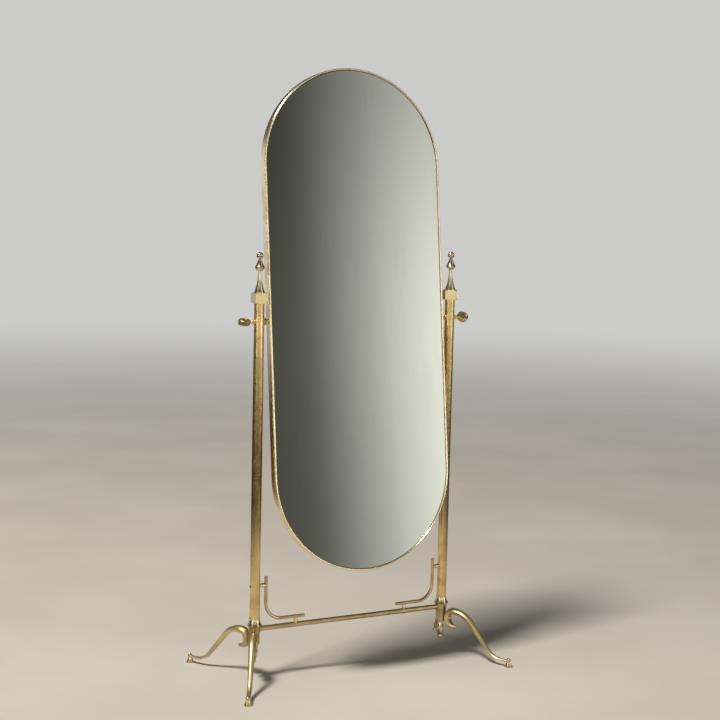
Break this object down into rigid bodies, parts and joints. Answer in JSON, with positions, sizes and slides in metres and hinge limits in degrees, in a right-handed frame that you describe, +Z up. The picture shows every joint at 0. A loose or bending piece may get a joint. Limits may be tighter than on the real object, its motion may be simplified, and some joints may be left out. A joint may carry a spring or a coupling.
{
  "type": "cheval floor mirror",
  "caption": "Full-length floor mirror with round ends, tilting on two thumb screws between round brass posts with finials, a stretcher and S-curved legs.",
  "frame": {"origin": "on the floor, midway between the two posts, under the middle of the four feet", "axes": "+Z up, the glass faces -Y and leans back towards +Y, +X to the right as seen by somebody who looks at the glass"},
  "size_m": [0.837, 0.4316, 1.6889],
  "materials": {
    "satin_brass": "satin lacquered brass tube and rod",
    "polished_brass": "polished cast and turned brass, slightly tarnished",
    "frame_brass": "polished brass band, satin on the outside",
    "silvered_glass": "silvered mirror glass",
    "backing_board": "plain plywood backing, dark stained",
    "steel_hardware": "plain turned steel"
  },
  "bodies": {
    "stand": {"foot_nuts": "polished_brass", "left_block": "satin_brass", "left_bracket_post_screw": "satin_brass", "left_bracket_stretcher_screw": "satin_brass", "left_corner_bracket": "satin_brass", "left_finial": "polished_brass", "left_finial_stud": "steel_hardware", "left_front_foot": "polished_brass", "left_front_leg": "polished_brass", "left_grub_screw": "steel_hardware", "left_hub_body": "polished_brass", "left_hub_collar": "polished_brass", "left_hub_pendant": "polished_brass", "left_hub_stud": "steel_hardware", "left_pivot_bush": "satin_brass", "left_pivot_washer": "satin_brass", "left_post_bottom_plug": "steel_hardware", "left_post_spool": "satin_brass", "left_post_top_plug": "steel_hardware", "left_post_tube": "satin_brass", "left_rear_foot": "polished_brass", "left_rear_leg": "polished_brass", "left_stretcher_spool": "satin_brass", "leg_screws": "polished_brass", "right_block": "satin_brass", "right_bracket_post_screw": "satin_brass", "right_bracket_stretcher_screw": "satin_brass", "right_corner_bracket": "satin_brass", "right_finial": "polished_brass", "right_finial_stud": "steel_hardware", "right_front_foot": "polished_brass", "right_front_leg": "polished_brass", "right_grub_screw": "steel_hardware", "right_hub_body": "polished_brass", "right_hub_collar": "polished_brass", "right_hub_pendant": "polished_brass", "right_hub_stud": "steel_hardware", "right_pivot_bush": "satin_brass", "right_post_bottom_plug": "steel_hardware", "right_post_spool": "satin_brass", "right_post_top_plug": "steel_hardware", "right_post_tube": "satin_brass", "right_rear_foot": "polished_brass", "right_rear_leg": "polished_brass", "right_stretcher_spool": "satin_brass", "stretcher_rod": "satin_brass"},
    "mirror": {"mirror_frame": "frame_brass", "mirror_glass": "silvered_glass", "backing_board": "backing_board", "retaining_tabs": "satin_brass", "left_frame_boss": "frame_brass", "right_frame_boss": "frame_brass"},
    "left_knob": {"left_tilt_knob": "polished_brass"},
    "right_knob": {"right_tilt_knob": "polished_brass"}
  },
  "joints": [
    {"name": "mirror_tilt", "type": "hinge", "parent": "stand", "child": "mirror", "pos_m": [0, 0, 0.9933], "axis": [1, 0, 0], "continuous": true},
    {"name": "left_knob_turn", "type": "hinge", "parent": "stand", "child": "left_knob", "pos_m": [-0.3, 0, 0.9933], "axis": [-1, 0, 0], "range_deg": [0, 360]},
    {"name": "right_knob_turn", "type": "hinge", "parent": "stand", "child": "right_knob", "pos_m": [0.3, 0, 0.9933], "axis": [1, 0, 0], "range_deg": [0, 360]}
  ]
}
